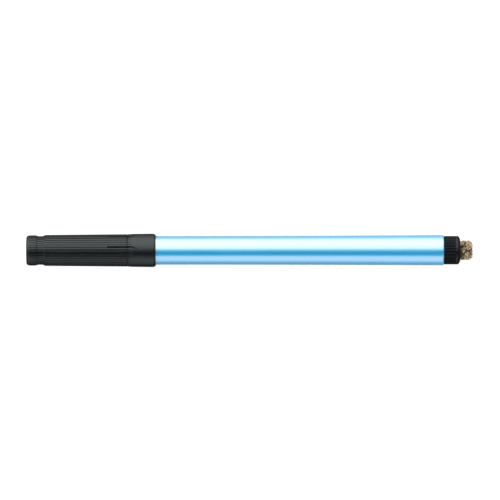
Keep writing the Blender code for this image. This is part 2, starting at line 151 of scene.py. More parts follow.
def quarter_turn(steps: int) -> list[float]:
    """Angles from 0 to a right angle in even steps, in radians."""
    return [0.5 * math.pi * i / steps for i in range(steps + 1)]


def set_inputs(tree: NodeTree, node: Node, inputs: dict[str | int, Any]) -> None:
    """Set or link inputs of a node.

    Args:
        tree: The node tree.
        node: The node.
        inputs: A value, an output socket, or a node for its first output, by the input's name or number.
    """
    for key, given in inputs.items():
        value = given.outputs[0] if isinstance(given, Node) else given
        if isinstance(value, NodeSocket):
            tree.links.new(value, node.inputs[key])
        else:
            node.inputs[key].default_value = value


def add_node(
    tree: NodeTree, kind: str, inputs: dict[str | int, Any] | None = None, **settings: Any
) -> Node:
    """Add a node, set its settings, and set or link its inputs.

    Args:
        tree: The node tree.
        kind: Blender's name of the node type.
        inputs: What goes into its inputs, as set_inputs takes it.
        settings: The node's own properties by name.

    Returns:
        The new node.
    """
    node = tree.nodes.new(kind)
    for name, value in settings.items():
        setattr(node, name, value)
    set_inputs(tree, node, inputs or {})
    return node


def set_stops(ramp: Node, places: Sequence[float], colours: Sequence[Colour]) -> None:
    """Set the stops of a colour ramp.

    Args:
        ramp: The ramp's node.
        places: Place of each stop from 0 to 1, in rising order.
        colours: Colour of each stop.
    """
    stops = ramp.color_ramp.elements
    while len(stops) < len(places):
        stops.new(0.5)
    for stop, place, colour in zip(stops, places, colours):
        stop.position = place
        stop.color = colour


def rounded(corners: Sequence[Corner], closed: bool, steps: int = 4) -> list[Point]:
    """Round the corners of an outline.

    Args:
        corners: (along, radius, rounding) of each corner.
        closed: Whether the last corner joins the first.
        steps: Pieces of each rounding.

    Returns:
        (along, radius) points of the rounded outline.
    """
    points: list[Point] = []
    last = len(corners) - 1
    for i, (along, radius, rounding) in enumerate(corners):
        here = Vector((along, radius))
        if rounding == 0.0 or (not closed and i in (0, last)):
            points.append((along, radius))
            continue
        before = Vector(corners[i - 1][:2]) - here
        after = Vector(corners[0 if i == last else i + 1][:2]) - here
        start = here + before.normalized() * min(rounding, ROUNDING_LIMIT * before.length)
        end = here + after.normalized() * min(rounding, ROUNDING_LIMIT * after.length)
        for k in range(steps + 1):
            t = k / steps
            spot = start * (1.0 - t) ** 2 + here * (2.0 * t * (1.0 - t)) + end * t**2
            points.append((spot.x, spot.y))
    return points


def skin(name: str, rings: Sequence[Sequence[Vector]], closed: bool) -> Mesh:
    """Join rings of points into one closed surface.

    Args:
        name: Name of the mesh.
        rings: Rings of equally many points; a ring of one point closes an end.
        closed: Whether the last ring joins the first.

    Returns:
        The mesh, its faces pointing outwards and shaded smooth.
    """
    starts: list[int] = []
    vertices: list[Vector] = []
    for ring in rings:
        starts.append(len(vertices))
        vertices.extend(ring)
    faces: list[tuple[int, ...]] = []
    pairs = list(zip(range(len(rings) - 1), range(1, len(rings))))
    if closed:
        pairs.append((len(rings) - 1, 0))
    for a, b in pairs:
        count = max(len(rings[a]), len(rings[b]))
        for i in range(count):
            j = (i + 1) % count
            if len(rings[a]) == 1:
                faces.append((starts[a], starts[b] + j, starts[b] + i))
            elif len(rings[b]) == 1:
                faces.append((starts[a] + i, starts[a] + j, starts[b]))
            else:
                faces.append((starts[a] + i, starts[a] + j, starts[b] + j, starts[b] + i))
    mesh = bpy.data.meshes.new(name)
    mesh.from_pydata(vertices, [], faces)
    edit = bmesh.new()
    edit.from_mesh(mesh)
    bmesh.ops.recalc_face_normals(edit, faces=edit.faces)
    edit.to_mesh(mesh)
    edit.free()
    mesh.shade_smooth()
    mesh.set_sharp_from_angle(angle=SHARP_ANGLE)
    return mesh


def new_piece(name: str, mesh: Mesh, material: Material | None) -> Object:
    """Put a mesh in the scene.

    Args:
        name: Name of the piece.
        mesh: Its mesh, already in place.
        material: Its finish, or None where a node tree sets it.

    Returns:
        The object.
    """
    piece = bpy.data.objects.new(name, mesh)
    if material is not None:
        mesh.materials.append(material)
    bpy.context.scene.collection.objects.link(piece)
    return piece


def keep_made(piece: Object) -> None:
    """Keep what a piece's modifiers make as its plain mesh, and remove them.

    Args:
        piece: The piece.
    """
    graph = bpy.context.evaluated_depsgraph_get()
    mesh = bpy.data.meshes.new_from_object(piece.evaluated_get(graph))
    piece.modifiers.clear()
    piece.data = mesh


def cut(piece: Object, cutter: Object, kept: Keep) -> None:
    """Cut a piece with a block, which is removed afterwards.

    Args:
        piece: The piece.
        cutter: The block.
        kept: Whether what lies outside the block stays, or what lies in it.
    """
    modifier = piece.modifiers.new(cutter.name, "BOOLEAN")
    modifier.operation = kept.value
    modifier.object = cutter
    modifier.solver = "EXACT"
    keep_made(piece)
    bpy.data.objects.remove(cutter, do_unlink=True)
    piece.data.set_sharp_from_angle(angle=SHARP_ANGLE)


def dress_node(name: str, material: Material) -> Object:
    """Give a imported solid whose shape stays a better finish.

    Args:
        name: The node's name.
        material: Its new finish.

    Returns:
        The node's object.
    """
    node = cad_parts[name]
    node.data.materials.clear()
    node.data.materials.append(material)
    return node


@dataclass(frozen=True)
class PenAxis:
    """Line that the pen is turned about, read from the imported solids, in metres."""

    start: float
    height: float

    @classmethod
    def from_frame(cls) -> "PenAxis":
        """Read the axis from the boxes of the cap and the barrel."""
        barrel_low, barrel_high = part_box("barrel_tube")
        return cls(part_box("cap_shell")[0].x, 0.5 * (barrel_low.z + barrel_high.z))

    def at(self, along: float, radius: float = 0.0, turn: float = 0.0) -> Vector:
        """Place a point on the pen.

        Args:
            along: Millimetres from the closed end of the cap.
            radius: Millimetres from the axis.
            turn: Degrees from the clip towards the camera.

        Returns:
            The point in metres.
        """
        angle = math.radians(turn)
        return Vector(
            (
                self.start + along * MM,
                -radius * math.sin(angle) * MM,
                self.height + radius * math.cos(angle) * MM,
            )
        )

    def ring(self, along: float, radius: float, steps: int) -> list[Vector]:
        """Place a ring of points round the axis.

        Args:
            along: Millimetres from the closed end of the cap.
            radius: Millimetres from the axis.
            steps: How many points.

        Returns:
            The points, or one point where there is no radius.
        """
        if radius == 0.0:
            return [self.at(along)]
        return [self.at(along, radius, 360.0 * i / steps) for i in range(steps)]

    def turned(self, name: str, outline: Sequence[Point], steps: int, closed: bool) -> Mesh:
        """Turn an outline about the axis.

        Args:
            name: Name of the mesh.
            outline: (along, radius) points.
            steps: Points round each ring.
            closed: Whether the outline's end joins its start.

        Returns:
            The turned mesh.
        """
        return skin(name, [self.ring(along, radius, steps) for along, radius in outline], closed)


# Finishes


@dataclass(frozen=True)
class Finish:
    """What every finish starts from: a name, a Principled shader and the place on the piece."""

    name: str

    def material(self) -> Material:
        """Build the material.

        Returns:
            The material, with the finish's patterns and values in its shader.
        """
        material = bpy.data.materials.new(self.name)
        material.use_nodes = True
        tree = material.node_tree
        place = add_node(tree, "ShaderNodeTexCoord").outputs["Object"]
        set_inputs(tree, tree.nodes["Principled BSDF"], self.inputs(tree, place))
        return material

    def inputs(self, tree: NodeTree, place: NodeSocket) -> dict[str, Any]:
        """Make the finish's patterns.

        Args:
            tree: The material's node tree.
            place: Socket with the place on the piece.

        Returns:
            What goes into the shader's inputs, by name.
        """
        raise NotImplementedError

    @staticmethod
    def drawn_out(tree: NodeTree, place: NodeSocket, size_mm: Pair, detail: float) -> Node:
        """Make noise that is drawn out along the pen.

        Args:
            tree: The material's node tree.
            place: Socket with the place on the piece.
            size_mm: Size of the noise along the pen and across it.
            detail: How many finer layers it has.

        Returns:
            The noise.
        """
        along, across = (1.0 / (size * MM) for size in size_mm)
        drawn = add_node(tree, "ShaderNodeMapping", {"Vector": place, "Scale": (along, across, across)})
        return add_node(tree, "ShaderNodeTexNoise", {"Vector": drawn, "Scale": 1.0, "Detail": detail})

    @staticmethod
    def varied(
        tree: NodeTree, share: Node, span: Pair, colours: Sequence[str], roughness: Pair
    ) -> dict[str, Node]:
        """Vary colour and gloss together.

        Args:
            tree: The material's node tree.
            share: Node with the share that they follow.
            span: Shares at which the change starts and ends.
            colours: Colours at its start and its end.
            roughness: Roughness at its start and its end.

        Returns:
            What goes into the shader's colour and roughness.
        """
        tone = add_node(tree, "ShaderNodeValToRGB", {"Fac": share})
        set_stops(tone, span, [linear(colour) for colour in colours])
        names = ("Value", "From Min", "From Max", "To Min", "To Max")
        gloss = add_node(tree, "ShaderNodeMapRange", dict(zip(names, (share, *span, *roughness))))
        return {"Base Color": tone, "Roughness": gloss}


@dataclass(frozen=True)
class MouldedPlastic(Finish):
    """Polyolefin from a polished steel mould.

    The eye sees a clear soft gloss that swims a little with the flow of the plastic, faint lengthwise flow
    lines and a very fine grain.
    """

    deep: str
    pale: str
    roughness: Pair
    ior: float = 1.49
    flow_mm: Pair = (9.0, 1.6)
    flow_detail: float = 3.0
    flow_span: Pair = (0.3, 0.7)
    grain_mm: float = 0.35
    grain_detail: float = 2.0
    grain_depth_mm: float = 0.0012
    clearness: float = 0.0
    shine: float = 0.5
    tint: str = "ffffff"

    def inputs(self, tree: NodeTree, place: NodeSocket) -> dict[str, Any]:
        """Make the flow lines and the grain.

        Args:
            tree: The material's node tree.
            place: Socket with the place on the piece.

        Returns:
            What goes into the shader's inputs, by name.
        """
        flow = self.drawn_out(tree, place, self.flow_mm, self.flow_detail)
        grain_scale = 1.0 / (self.grain_mm * MM)
        grain = add_node(
            tree, "ShaderNodeTexNoise", {"Vector": place, "Scale": grain_scale, "Detail": self.grain_detail}
        )
        bump = {"Height": grain, "Distance": self.grain_depth_mm * MM, "Strength": 1.0}
        return {
            **self.varied(tree, flow, self.flow_span, (self.deep, self.pale), self.roughness),
            "Normal": add_node(tree, "ShaderNodeBump", bump),
            "IOR": self.ior,
            "Specular IOR Level": self.shine,
            "Specular Tint": linear(self.tint),
            "Transmission Weight": self.clearness,
        }


@dataclass(frozen=True)
class PearlPlastic(Finish):
    """Light blue polypropylene filled with mica pearl, from a polished mould.

    The eye sees a saturated blue in the dark of the room and an almost white silky sheen towards the
    lights, because the mica's titania coat has a high index and lies in several layers. Streaks of flakes
    are drawn out along the barrel, and its edges are a little paler, where the eye meets the flakes at a
    slant. Real flakes are about 0.03 mm wide; they are drawn coarser so that they show.
    """

    deep: str
    pale: str
    roughness: Pair
    ior: float = 2.8
    layered_sheen: float = 1.0
    tint: str = "f0f9ff"
    streak_mm: Pair = (14.0, 0.5)
    streak_detail: float = 4.0
    flake_mm: float = 0.16
    flake_share: float = 0.25
    tone_span: Pair = (0.4, 0.85)
    coat: float = 1.0
    coat_roughness: float = 0.1
    edge_sheen: float = 0.6
    edge_sheen_roughness: float = 0.42

    def inputs(self, tree: NodeTree, place: NodeSocket) -> dict[str, Any]:
        """Make the streaks and the flakes.

        Args:
            tree: The material's node tree.
            place: Socket with the place on the piece.

        Returns:
            What goes into the shader's inputs, by name.
        """
        streaks = self.drawn_out(tree, place, self.streak_mm, self.streak_detail)
        flake_scale = 1.0 / (self.flake_mm * MM)
        flakes = add_node(tree, "ShaderNodeTexVoronoi", {"Vector": place, "Scale": flake_scale})
        shares = {0: flakes.outputs["Color"], 1: self.flake_share, 2: streaks}
        share = add_node(tree, "ShaderNodeMath", shares, operation="MULTIPLY_ADD")
        return {
            **self.varied(tree, share, self.tone_span, (self.deep, self.pale), self.roughness),
            "IOR": self.ior,
            "Specular IOR Level": self.layered_sheen,
            "Specular Tint": linear(self.tint),
            "Coat Weight": self.coat,
            "Coat Roughness": self.coat_roughness,
            "Sheen Weight": self.edge_sheen,
            "Sheen Roughness": self.edge_sheen_roughness,
        }


@dataclass(frozen=True)
class BondedFibre(Finish):
    """Fibre rod: fine parallel fibres, dyed by ink, dull with a faint lengthwise grain.

    Real fibres are about 0.02 mm thick; they are drawn coarser so that they show.
    """

    deep: str
    pale: str
    fibre_mm: Pair = (3.0, 0.09)
    fibre_detail: float = 2.0
    tone_span: Pair = (0.35, 0.7)
    depth_mm: float = 0.01
    relief: float = 0.8
    roughness: float = 0.75

    def inputs(self, tree: NodeTree, place: NodeSocket) -> dict[str, Any]:
        """Make the fibres.

        Args:
            tree: The material's node tree.
            place: Socket with the place on the piece.

        Returns:
            What goes into the shader's inputs, by name.
        """
        fibres = self.drawn_out(tree, place, self.fibre_mm, self.fibre_detail)
        tone = add_node(tree, "ShaderNodeValToRGB", {"Fac": fibres})
        set_stops(tone, self.tone_span, (linear(self.deep), linear(self.pale)))
        bump = {"Height": fibres, "Distance": self.depth_mm * MM, "Strength": self.relief}
        return {
            "Base Color": tone,
            "Normal": add_node(tree, "ShaderNodeBump", bump),
            "Roughness": self.roughness,
        }


@dataclass(frozen=True)
class CurledFibre(Finish):
    """Coarse natural fibre, crimped and felted into a plug.

    The eye sees straw-coloured curls over dark gaps; every fibre has its own tone, and a dry soft
    sheen. The deepest brown colours the darkest fibres, and the core under the curls, which has no tone of
    its own: there it is painted shade of the gaps between the curls.
    """

    # Deep brown: painted shade of the gaps on the core, and the darkest fibres' own tone
    gap_shade: str
    brown: str
    straw: str
    tone_attribute: str
    tone_places: tuple[float, ...] = (0.15, 0.5, 1.0)
    speck_mm: float = 0.25
    speck_share: float = 0.3
    roughness: float = 0.62
    sheen: float = 0.15

    def inputs(self, tree: NodeTree, place: NodeSocket) -> dict[str, Any]:
        """Make the tone, which is each fibre's own attribute with fine specks.

        Args:
            tree: The material's node tree.
            place: Socket with the place on the piece.

        Returns:
            What goes into the shader's inputs, by name.
        """
        own = add_node(tree, "ShaderNodeAttribute", attribute_name=self.tone_attribute)
        speck_scale = 1.0 / (self.speck_mm * MM)
        specks = add_node(tree, "ShaderNodeTexNoise", {"Vector": place, "Scale": speck_scale})
        shares = {0: specks, 1: self.speck_share, 2: own.outputs["Fac"]}
        mixed = add_node(tree, "ShaderNodeMath", shares, operation="MULTIPLY_ADD")
        tone = add_node(tree, "ShaderNodeValToRGB", {"Fac": mixed})
        # The core has no tone of its own, so the first stop paints it as the shade of the gaps between the
        # curls
        set_stops(tone, self.tone_places, [linear(colour) for colour in (self.gap_shade, self.brown, self.straw)])
        return {"Base Color": tone, "Roughness": self.roughness, "Sheen Weight": self.sheen}


@dataclass(frozen=True)
class OpalAcrylic(Finish):
    """Opal sheet lit from below: the eye sees an even white."""

    deep: str
    pale: str
    mottle_mm: float = 1.11
    roughness: float = 0.9
    glow: float = 1.0

    def inputs(self, tree: NodeTree, place: NodeSocket) -> dict[str, Any]:
        """Make the faint mottle.

        Args:
            tree: The material's node tree.
            place: Socket with the place on the piece.

        Returns:
            What goes into the shader's inputs, by name.
        """
        mottle_scale = 1.0 / (self.mottle_mm * MM)
        mottle = add_node(tree, "ShaderNodeTexNoise", {"Vector": place, "Scale": mottle_scale})
        tone = add_node(tree, "ShaderNodeValToRGB", {"Fac": mottle})
        set_stops(tone, (0.0, 1.0), (linear(self.deep), linear(self.pale)))
        return {
            "Base Color": tone,
            "Roughness": self.roughness,
            "Emission Color": WHITE,
            "Emission Strength": self.glow,
        }


BLACK_POLYPROPYLENE = MouldedPlastic(
    "black_polypropylene", "080a0b", "0f1112", (0.28, 0.34), ior=1.58, tint="f0fbff"
)
DULL_POLYPROPYLENE = MouldedPlastic(
    "dull_black_polypropylene", "030404", "070808", (0.32, 0.38), shine=0.16, tint="f0fbff"
)
SATIN_POLYPROPYLENE = MouldedPlastic(
    "satin_black_polypropylene", "060707", "0b0c0d", (0.3, 0.36), shine=0.38, tint="f0fbff"
)
PEARL_POLYPROPYLENE = PearlPlastic("blue_pearl_polypropylene", "00b9fb", "06c1ff", roughness=(0.13, 0.19))
NATURAL_POLYETHYLENE = MouldedPlastic(
    "natural_polyethylene", "cfcfc6", "dedfd8", (0.38, 0.46), ior=1.52, clearness=0.15
)
CLEAR_POLYESTER_FILM = MouldedPlastic(
    "clear_polyester_film", "c9cdd2", "dde0e3", (0.1, 0.16), ior=1.57, clearness=0.85
)
INKED_NIB = BondedFibre("inked_nib_fibre", "08080a", "1c1c20")
INKED_BUNDLE = BondedFibre("inked_fibre_bundle", "0a0a0d", "25252b")
FIBRE_TONE = "fibre_tone"
# Its first colour is painted shade of the gaps, on the core, and the darkest fibres' own tone
ERASER_FIBRE = CurledFibre("curled_eraser_fibre", "0d0703", "4a321a", "d6bb94", FIBRE_TONE)
LIGHT_TABLE = OpalAcrylic("opal_light_table", "404040", "4a4a4a")


# Node trees for what repeats


class NodeModifier:
    """A Geometry Nodes tree with named inputs, whose result is kept as a plain mesh."""

    def __init__(self, name: str, inputs: dict[str, str]) -> None:
        """Start the tree.

        Args:
            name: Name of the tree.
            inputs: Kind of each input, such as "Float", by name, after the geometry.
        """
        self.tree = bpy.data.node_groups.new(name, "GeometryNodeTree")
        sockets = self.tree.interface
        sockets.new_socket("Geometry", in_out="INPUT", socket_type="NodeSocketGeometry")
        self.keys = {
            label: sockets.new_socket(label, in_out="INPUT", socket_type="NodeSocket" + kind).identifier
            for label, kind in inputs.items()
        }
        sockets.new_socket("Geometry", in_out="OUTPUT", socket_type="NodeSocketGeometry")
        self.given = add_node(self.tree, "NodeGroupInput").outputs

    def end(self, geometry: Node) -> None:
        """End the tree: make its instances real and set their material.

        Args:
            geometry: Node with the made geometry.
        """
        add = partial(add_node, self.tree)
        real = add("GeometryNodeRealizeInstances", {"Geometry": geometry})
        dressed = add("GeometryNodeSetMaterial", {"Geometry": real, "Material": self.given["Material"]})
        add("NodeGroupOutput", {"Geometry": dressed})

    def run(self, piece: Object, values: dict[str, Any]) -> None:
        """Run the tree on a piece and keep the result.

        Args:
            piece: The piece whose mesh the tree takes.
            values: A value for each named input.
        """
        modifier = piece.modifiers.new(self.tree.name, "NODES")
        modifier.node_group = self.tree
        for label, value in values.items():
            modifier[self.keys[label]] = value
        keep_made(piece)


@dataclass(frozen=True)
class Ribbing:
    """Lengthwise ribs round a piece.

    The groove and floor shares are where a groove's sides and its floor end, counted from its middle in
    half spacings. The crown share is how far a rib's crest falls off to its sides, in depths of the groove.
    """

    count: int
    points_per_rib: int
    groove_share: float
    floor_share: float
    crown_share: float

    @property
    def steps(self) -> int:
        """Points round the piece."""
        return self.count * self.points_per_rib


class RibTree(NodeModifier):
    """Presses even lengthwise grooves between ribs, one rib on top, as deep as an attribute says."""

    DEPTH = "groove_depth"

    def __init__(self) -> None:
        """Build the tree."""
        super().__init__(
            "lengthwise_ribs",
            {
                "Ribs": "Int",
                "Axis height": "Float",
                "Groove share": "Float",
                "Floor share": "Float",
                "Crown share": "Float",
                "Material": "Material",
            },
        )
        add = partial(add_node, self.tree)
        given = self.given
        place = add("ShaderNodeSeparateXYZ", {0: add("GeometryNodeInputPosition")}).outputs
        up = add("ShaderNodeMath", {0: place["Z"], 1: given["Axis height"]}, operation="SUBTRACT")
        turn = add("ShaderNodeMath", {0: place["Y"], 1: up}, operation="ARCTAN2")
        phase = add("ShaderNodeMath", {0: turn, 1: given["Ribs"], 2: math.pi}, operation="MULTIPLY_ADD")
        wave = add("ShaderNodeMath", {0: phase}, operation="COSINE")
        spread = add("ShaderNodeMath", {0: wave}, operation="ARCCOSINE")
        away = add("ShaderNodeMath", {0: spread, 1: math.pi}, operation="DIVIDE")
        sides = {"Value": away, "From Min": given["Groove share"], "From Max": given["Floor share"]}
        groove = add("ShaderNodeMapRange", sides)
        aside = add("ShaderNodeMath", {0: 1.0, 1: away}, operation="SUBTRACT")
        square = add("ShaderNodeMath", {0: aside, 1: 2.0}, operation="POWER")
        crown = {0: square, 1: given["Crown share"], 2: groove}
        crowned = add("ShaderNodeMath", crown, operation="MULTIPLY_ADD")
        depth = add("GeometryNodeInputNamedAttribute", {"Name": self.DEPTH}, data_type="FLOAT")
        press = add("ShaderNodeMath", {0: crowned, 1: depth}, operation="MULTIPLY")
        inwards = add("ShaderNodeMath", {0: press, 1: -1.0}, operation="MULTIPLY")
        across = add("ShaderNodeCombineXYZ", {"Y": place["Y"], "Z": up})
        out = add("ShaderNodeVectorMath", {0: across}, operation="NORMALIZE")
        offset = add("ShaderNodeVectorMath", {0: out, "Scale": inwards}, operation="SCALE")
        self.end(add("GeometryNodeSetPosition", {"Geometry": given["Geometry"], "Offset": offset}))

    def build(
        self,
        name: str,
        axis: PenAxis,
        outline: Sequence[Point],
        closed: bool,
        depths: Sequence[float],
        ribbing: Ribbing,
        finish: Finish,
    ) -> Object:
        """Build a piece that is turned about the pen's axis and ribbed.

        Args:
            name: Name of the piece.
            axis: The pen's axis.
            outline: (along, radius) points of the piece.
            closed: Whether the outline's end joins its start.
            depths: Depth of the grooves at each point of the outline, in millimetres.
            ribbing: The ribs.
            finish: The piece's finish.

        Returns:
            The piece.
        """
        piece = new_piece(name, axis.turned(name, outline, ribbing.steps, closed), None)
        at_points: list[float] = []
        for (_, radius), depth in zip(outline, depths):
            at_points += [depth * MM] * (ribbing.steps if radius > 0.0 else 1)
        attribute = piece.data.attributes.new(self.DEPTH, "FLOAT", "POINT")
        attribute.data.foreach_set("value", at_points)
        self.run(
            piece,
            {
                "Ribs": ribbing.count,
                "Axis height": axis.height,
                "Groove share": ribbing.groove_share,
                "Floor share": ribbing.floor_share,
                "Crown share": ribbing.crown_share,
                "Material": finish.material(),
            },
        )
        piece.data.set_sharp_from_angle(angle=SHARP_ANGLE)
        return piece


class CurlTree(NodeModifier):
    """Covers a plug's open end with crimped fibres and keeps the plug as their core, in painted shade."""

    # Curl and its fibre, how far it leans in radians, spans of size and tone, and the middle of the noise
    POINTS_PER_TURN = 9
    TURNS = 1.15
    SIDES = 5
    LEAN = 1.2
    SIZES: Pair = (0.65, 1.35)
    TONES: Pair = (-0.1, 0.88)
    MIDDLE = (0.5, 0.5, 0.5)

    def __init__(self) -> None:
        """Build the tree."""
        super().__init__(
            "curled_fibres",
            {
                "Socket mouth": "Float",
                "Fibres per area": "Float",
                "Curl radius": "Float",
                "Curl rise": "Float",
                "Fibre radius": "Float",
                "Crimp": "Float",
                "Crimp scale": "Float",
                "Seed": "Int",
                "Material": "Material",
            },
        )
        add = partial(add_node, self.tree)
        given = self.given
        seed = given["Seed"]
        place = add("GeometryNodeInputPosition")
        along = add("ShaderNodeSeparateXYZ", {0: place}).outputs["X"]
        mouth = given["Socket mouth"]
        open_end = add("FunctionNodeCompare", {0: along, 1: mouth}, operation="GREATER_THAN")
        spots = add(
            "GeometryNodeDistributePointsOnFaces",
            {
                "Mesh": given["Geometry"],
                "Selection": open_end,
                "Density": given["Fibres per area"],
                "Seed": seed,
            },
        ).outputs
        coil = add(
            "GeometryNodeCurveSpiral",
            {
                "Resolution": self.POINTS_PER_TURN,
                "Rotations": self.TURNS,
                "Start Radius": given["Curl radius"],
                "End Radius": given["Curl radius"],
                "Height": given["Curl rise"],
            },
        )
        section = {"Resolution": self.SIDES, "Radius": given["Fibre radius"]}
        ring = add("GeometryNodeCurvePrimitiveCircle", section)
        fibre = add("GeometryNodeCurveToMesh", {"Curve": coil, "Profile Curve": ring, "Fill Caps": True})
        most = Vector((self.LEAN, self.LEAN, math.pi))
        lean = add("FunctionNodeRandomValue", {0: -most, 1: most, "Seed": seed}, data_type="FLOAT_VECTOR")
        turns = {0: spots["Rotation"], 1: add("FunctionNodeEulerToRotation", {0: lean})}
        turned = add("FunctionNodeRotateRotation", turns, rotation_space="LOCAL")
        size, tone = (
            add("FunctionNodeRandomValue", {2: low, 3: high, "Seed": seed}, data_type="FLOAT").outputs[1]
            for low, high in (self.SIZES, self.TONES)
        )
        fibres = add(
            "GeometryNodeInstanceOnPoints",
            {"Points": spots["Points"], "Instance": fibre, "Rotation": turned, "Scale": size},
        )
        toned = add(
            "GeometryNodeStoreNamedAttribute",
            {"Geometry": fibres, "Name": FIBRE_TONE, "Value": tone},
            data_type="FLOAT",
            domain="INSTANCE",
        )
        real = add("GeometryNodeRealizeInstances", {"Geometry": toned})
        noise = add("ShaderNodeTexNoise", {"Vector": place, "Scale": given["Crimp scale"], "Detail": 1.0})
        shift = noise.outputs["Color"]
        swing = add("ShaderNodeVectorMath", {0: shift, 1: self.MIDDLE}, operation="SUBTRACT")
        crimp = add("ShaderNodeVectorMath", {0: swing, "Scale": given["Crimp"]}, operation="SCALE")
        crimped = add("GeometryNodeSetPosition", {"Geometry": real, "Offset": crimp})
        smooth = add("GeometryNodeSetShadeSmooth", {"Geometry": crimped})
        both = add("GeometryNodeJoinGeometry", {"Geometry": given["Geometry"]})
        set_inputs(self.tree, both, {"Geometry": smooth})
        self.end(both)


# Sub-assemblies


@dataclass
class Cap:
    """Push-fit cap: ribbed shell, the pocket clip cut out of its wall as a tongue, and the inner seal."""

    axis: PenAxis
    ribs: RibTree
    length: float = 41.2

    # Corners of the closed end with a dimple in its middle, of the neck, and of the hollow
    closed_end: tuple[Corner, ...] = (
        (0.12, 0.0, 0.0),
        (0.12, 0.75, 0.1),
        (0.0, 0.9, 0.1),
        (0.0, 2.9, 0.4),
        (0.12, 4.84, 1.9),
    )
    neck: tuple[Corner, ...] = (
        (3.1, 4.84, 0.6),
        (3.75, 4.55, 0.6),
        (5.4, 4.55, 0.6),
    )
    hollow: tuple[Corner, ...] = (
        (35.4, 4.72, 0.1),
        (35.4, 4.42, 0.1),
        (7.5, 4.2, 0.1),
        (7.5, 3.9, 0.1),
        (1.5, 3.9, 0.4),
        (1.5, 0.0, 0.0),
    )
    round_steps: int = 6

    # Ribs, which start on the rounded end and are a little shallower up to the neck
    ribbing: Ribbing = Ribbing(36, 14, groove_share=0.28, floor_share=0.15, crown_share=0.25)
    groove_start: float = 0.4
    groove_full: float = 1.5
    end_groove_depth: float = 0.18
    neck_groove_end: float = 5.6
    body_groove_start: float = 5.95
    groove_depth: float = 0.2
    ribs_end: float = 33.7

    # Body, and the fine ring that parts it from the smooth band
    taper_start: float = 5.6
    taper_radius: float = 4.92
    body_start: float = 6.0
    body_round: float = 0.3
    body_steps: int = 40
    body_end_radius: float = 5.16
    ring_start: float = 32.05
    ring_depth: float = 0.14
    ring_steps: int = 4

    # Smooth band and the rounded lip of the mouth
    band_start: float = 32.4
    band_radius: float = 5.23
    band_places: tuple[float, ...] = (32.7, 33.0, 33.35, 34.5, 36.0, 38.0)
    lip_radius: float = 5.32
    lip_length: float = 1.3
    lip_drop: float = 0.5
    lip_steps: int = 8

    # Clip: its tongue, the slot round it, which narrows along the nose, and the blocks that cut them
    clip_root: float = 25.85
    clip_tip: float = 35.5
    clip_tip_round: float = 0.4
    clip_tip_steps: int = 3
    clip_half_width: float = 1.75
    clip_underside: float = 4.45
    slot_width: float = 0.5
    slot_shares: tuple[Point, ...] = ((0.0, 1.0), (0.3, 0.75), (0.75, 0.55))
    nose_start: float = 32.8
    nose_flare: float = 0.7
    nose_slot_width: float = 0.12
    nose_steps: int = 8
    tip_gap: float = 0.03
    cut_floor: float = 3.0
    cut_top: float = 6.5
    bend_end: float = 27.5

    def outside(self) -> list[Point]:
        """Draw the outside.

        Returns:
            Its outline, from the middle of the closed end to the mouth.
        """
        body_corner: Corner = (self.body_start, self.body_radius(self.body_start), self.body_round)
        points = rounded([*self.closed_end, *self.neck, body_corner], closed=False, steps=self.round_steps)
        points += [(along, self.body_radius(along) - self.ring_dip(along)) for along in self.body_places()]
        points += [(along, self.band(along)) for along in sorted((*self.band_places, self.ribs_end))]
        lip_start = self.length - self.lip_length
        for angle in quarter_turn(self.lip_steps):
            along = lip_start + self.lip_length * math.sin(angle)
            points.append((along, self.lip_radius - self.lip_drop * (1.0 - math.cos(angle))))
        return points

    def body_places(self) -> list[float]:
        """Choose the places of rings along the ribbed body.

        Returns:
            The places, closer together at the fine ring.
        """
        length = self.ring_start - self.body_start
        even = [self.body_start + length * i / self.body_steps for i in range(1, self.body_steps)]
        width = self.band_start - self.ring_start
        return even + [self.ring_start + width * i / self.ring_steps for i in range(self.ring_steps + 1)]

    def bore(self) -> list[Point]:
        """Draw the hollow, from the mouth, which is straight, to the closed end."""
        mouth: Corner = (self.length, self.hollow[0][1], 0.0)
        return rounded([mouth, *self.hollow], closed=False)

    def body_radius(self, along: float) -> float:
        """Radius of the rib crests along the body."""
        table = [(self.taper_start, self.taper_radius), (self.band_start, self.body_end_radius)]
        return between(table, along)

    def ring_dip(self, along: float) -> float:
        """Depth of the ring at a place along the cap."""
        half = 0.5 * (self.band_start - self.ring_start)
        return self.ring_depth * max(0.0, 1.0 - abs(along - self.ring_start - half) / half)

    def band(self, along: float) -> float:
        """Find the radius of the smooth band, risen softly from the body.

        Args:
            along: The place along the cap.

        Returns:
            The radius there.
        """
        rim = between([(self.band_start, self.band_radius), (self.length, self.lip_radius)], along)
        share = ease(self.band_start, self.ribs_end, along)
        return self.body_radius(self.band_start) * (1.0 - share) + rim * share

    def groove(self, along: float) -> float:
        """Find the depth of the grooves: less in the ring and none on the smooth band.

        Args:
            along: The place along the cap.

        Returns:
            The depth there.
        """
        table = [
            (self.groove_start, 0.0),
            (self.groove_full, self.end_groove_depth),
            (self.neck_groove_end, self.end_groove_depth),
            (self.body_groove_start, self.groove_depth),
            (self.ring_start, self.groove_depth),
            (0.5 * (self.ring_start + self.band_start), 0.0),
            (self.band_start, self.groove_depth),
            (self.ribs_end, 0.0),
        ]
        return between(table, along)

    def build_shell(self) -> Object:
        """Build the shell, still without the clip's slot.

        Returns:
            The shell, a turned surface into which the ribs are pressed.
        """
        outside = self.outside()
        bore = self.bore()
        depths = [self.groove(along) for along, _ in outside] + [0.0] * len(bore)
        return self.ribs.build(
            "cap_ribbed_shell", self.axis, outside + bore, False, depths, self.ribbing, BLACK_POLYPROPYLENE
        )

